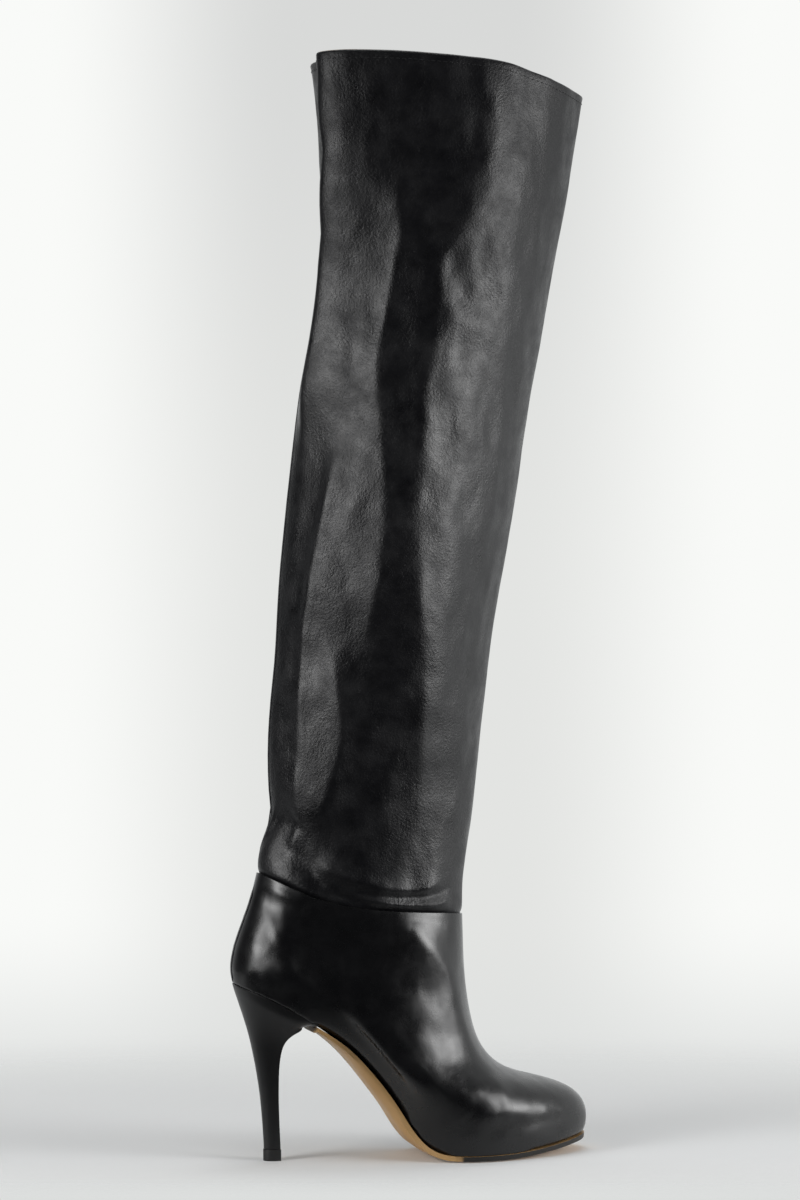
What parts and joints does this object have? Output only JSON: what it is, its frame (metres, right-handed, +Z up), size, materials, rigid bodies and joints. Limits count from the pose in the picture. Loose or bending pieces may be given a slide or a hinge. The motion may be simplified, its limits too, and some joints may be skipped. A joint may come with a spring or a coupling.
{
  "type": "thigh high boot",
  "caption": "Tall black leather boot with a slim high heel, a smooth lasted foot part and a soft hollow shaft that reaches the thigh",
  "frame": {"origin": "middle of the boot's bounding box, on the floor it stands on", "axes": "+Z up, +X towards the toe, -Y towards the outer side of the right foot"},
  "size_m": [0.2237, 0.106, 0.6621],
  "materials": {
    "upper": "black polished calf, glossy",
    "shaft": "black soft grained nappa, satin",
    "insole": "natural lining leather, matt",
    "outsole": "tan sole leather, lightly worn, dark edge",
    "heel": "black calf covered heel, glossy",
    "top_lift": "black hard rubber, matt",
    "thread": "black waxed sewing thread",
    "lining": "natural lining leather, matt"
  },
  "bodies": {
    "root": {"upper": "upper", "shaft": "shaft", "insole": "insole", "outsole": "outsole", "heel": "heel", "top_lift": "top_lift"}
  },
  "joints": []
}
